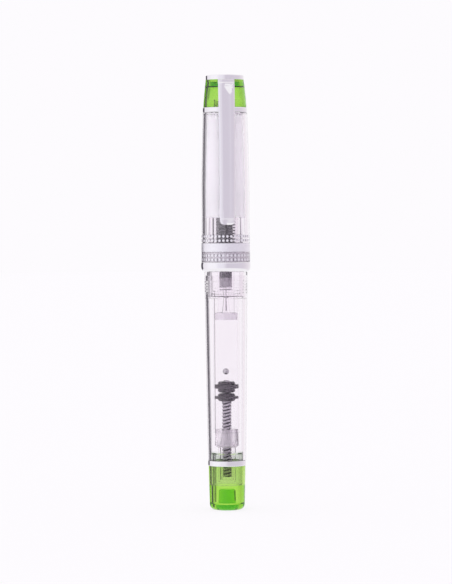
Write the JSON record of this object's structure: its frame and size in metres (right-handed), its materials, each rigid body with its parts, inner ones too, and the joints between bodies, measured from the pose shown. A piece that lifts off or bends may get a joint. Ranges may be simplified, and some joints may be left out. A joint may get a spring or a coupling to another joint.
{
  "type": "fountain pen",
  "caption": "Clear snap-cap fountain pen with coloured crown and end plug, sprung clip, steel nib and finned feed, and a twist converter whose spiral spindle drives a piston.",
  "frame": {"origin": "on the pen's axis, at the flat bottom end of the barrel's plug", "axes": "+Z along the pen towards the cap's top disc, -Y towards the clip, +X to the right of the clip"},
  "size_m": [0.0138, 0.0155, 0.1204],
  "materials": {
    "clear_plastic": "polished clear acrylic",
    "green_plastic": "polished translucent green",
    "milky_plastic": "milky moulded liner",
    "chrome_trim": "bright plated",
    "nib_steel": "polished stainless steel",
    "feed_plastic": "moulded black",
    "tube_plastic": "clear tube",
    "seal_ring": "soft translucent",
    "nut_plastic": "translucent grey",
    "knob_plastic": "clear",
    "spindle_plastic": "moulded dark grey",
    "piston_rubber": "black rubber",
    "ball_steel": "polished ball"
  },
  "bodies": {
    "barrel": {"end_plug": "green_plastic", "barrel_end_ring": "chrome_trim", "barrel_shell": "clear_plastic"},
    "section": {"section_shell": "clear_plastic", "feed": "feed_plastic", "nib": "nib_steel", "converter_tube": "tube_plastic", "converter_mouth_seal": "seal_ring"},
    "knob": {"converter_nut": "nut_plastic", "converter_knob": "knob_plastic"},
    "piston": {"screw_spindle": "spindle_plastic", "piston_front_seal": "piston_rubber", "piston_rear_seal": "piston_rubber"},
    "ball": {"agitator_ball": "ball_steel"},
    "cap": {"cap_shell": "clear_plastic", "cap_lip_ring": "chrome_trim", "inner_cap": "milky_plastic", "cap_collar_ring": "chrome_trim", "cap_crown": "green_plastic", "clip_root": "chrome_trim", "crown_finial": "chrome_trim"},
    "clip": {"clip_tongue": "chrome_trim"}
  },
  "joints": [
    {"name": "section_unscrew", "type": "slide", "parent": "barrel", "child": "section", "axis": [0, 0, 1], "range_m": [0, 0.06]},
    {"name": "cap_pull", "type": "slide", "parent": "section", "child": "cap", "axis": [0, 0, 1], "range_m": [0, 0.045]},
    {"name": "clip_flex", "type": "hinge", "parent": "cap", "child": "clip", "pos_m": [0, -0.0055, 0.119], "axis": [-1, 0, 0], "range_deg": [0, 3.5], "stiffness_Nm_per_rad": 1.9},
    {"name": "knob_turn", "type": "hinge", "parent": "section", "child": "knob", "pos_m": [0, 0, 0.0124], "axis": [0, 0, -1], "range_deg": [0, 2340]},
    {"name": "piston_feed", "type": "slide", "parent": "section", "child": "piston", "axis": [0, 0, 1], "range_m": [0, 0.012]},
    {"name": "ball_roll", "type": "slide", "parent": "piston", "child": "ball", "axis": [0, 0, 1], "range_m": [-0.001, 0.0015]}
  ],
  "couplings": [
    {"joint": "knob_turn", "follows": "piston_feed", "rad_per_m": 3396.3}
  ]
}
